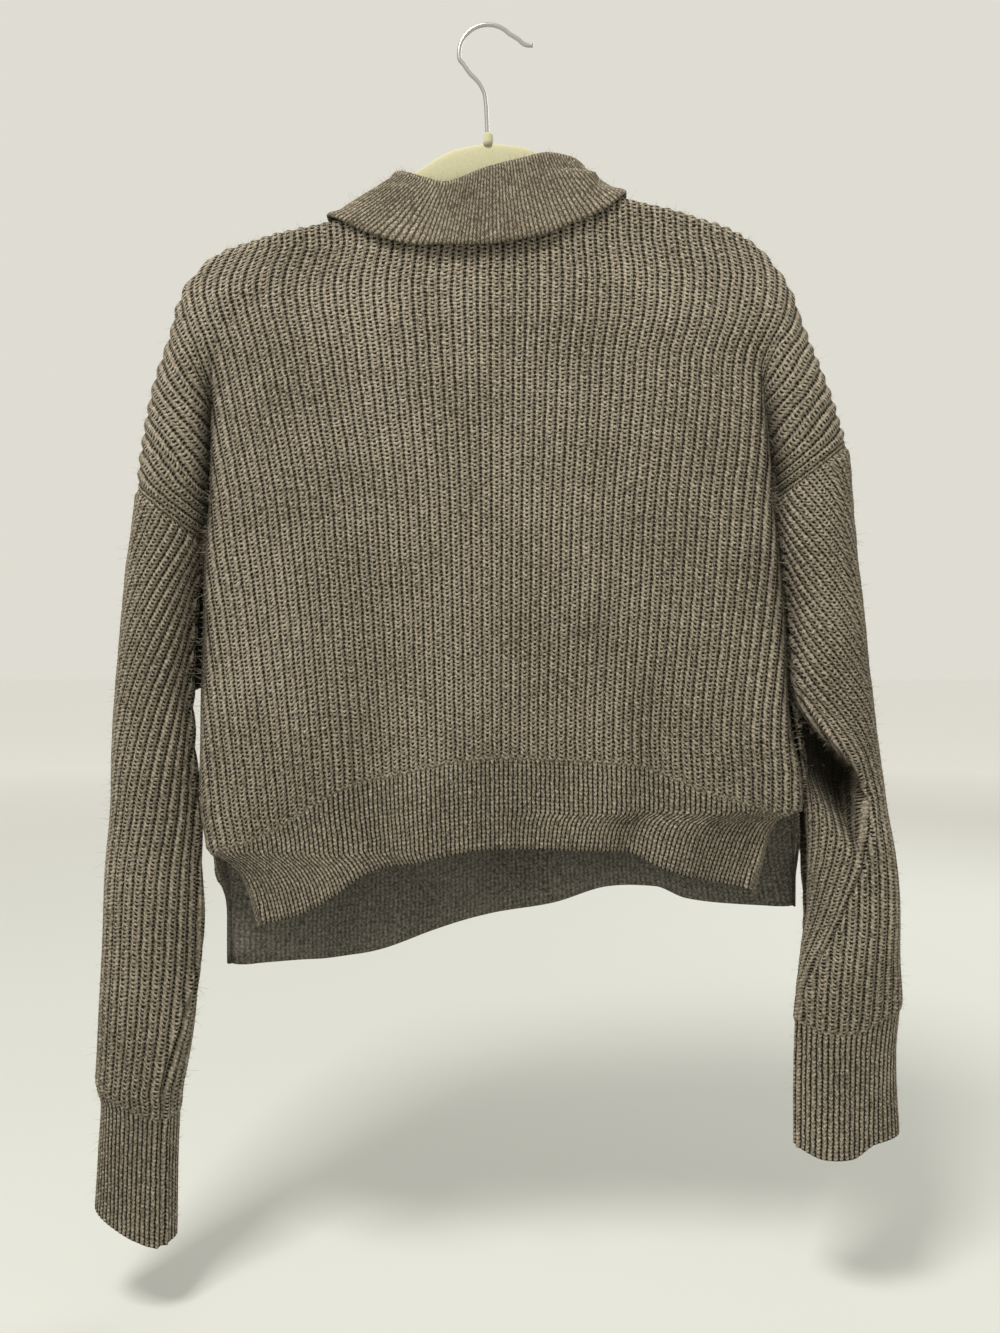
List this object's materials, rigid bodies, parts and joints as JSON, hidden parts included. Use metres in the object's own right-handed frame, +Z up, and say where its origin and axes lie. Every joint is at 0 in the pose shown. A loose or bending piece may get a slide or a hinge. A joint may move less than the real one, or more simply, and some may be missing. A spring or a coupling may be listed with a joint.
{
  "type": "cropped knit sweater on a hanger",
  "caption": "Cropped rib-knit sweater with a turned-down collar, drop shoulders, long cuffed sleeves and side slits, hanging on a slim flocked hanger.",
  "frame": {"origin": "inside top of the hanger's hook, where a rail or peg touches it", "axes": "+Z up, -Y out of the sweater's back, +Y out of its front, +X to the right of someone looking at the back"},
  "size_m": [0.6266, 0.0759, 0.9463],
  "materials": {
    "knit": "matte heather wool in chunky half-cardigan rib",
    "collar_knit": "matte heather wool in fine rib",
    "flocked": "short cream flocking",
    "chrome_wire": "polished wire"
  },
  "bodies": {
    "root": {"back_panel": "knit", "front_panel": "knit", "sleeve_left": "knit", "sleeve_right": "knit", "collar": "collar_knit", "hanger": "flocked", "hanger_hook": "chrome_wire"}
  },
  "joints": []
}
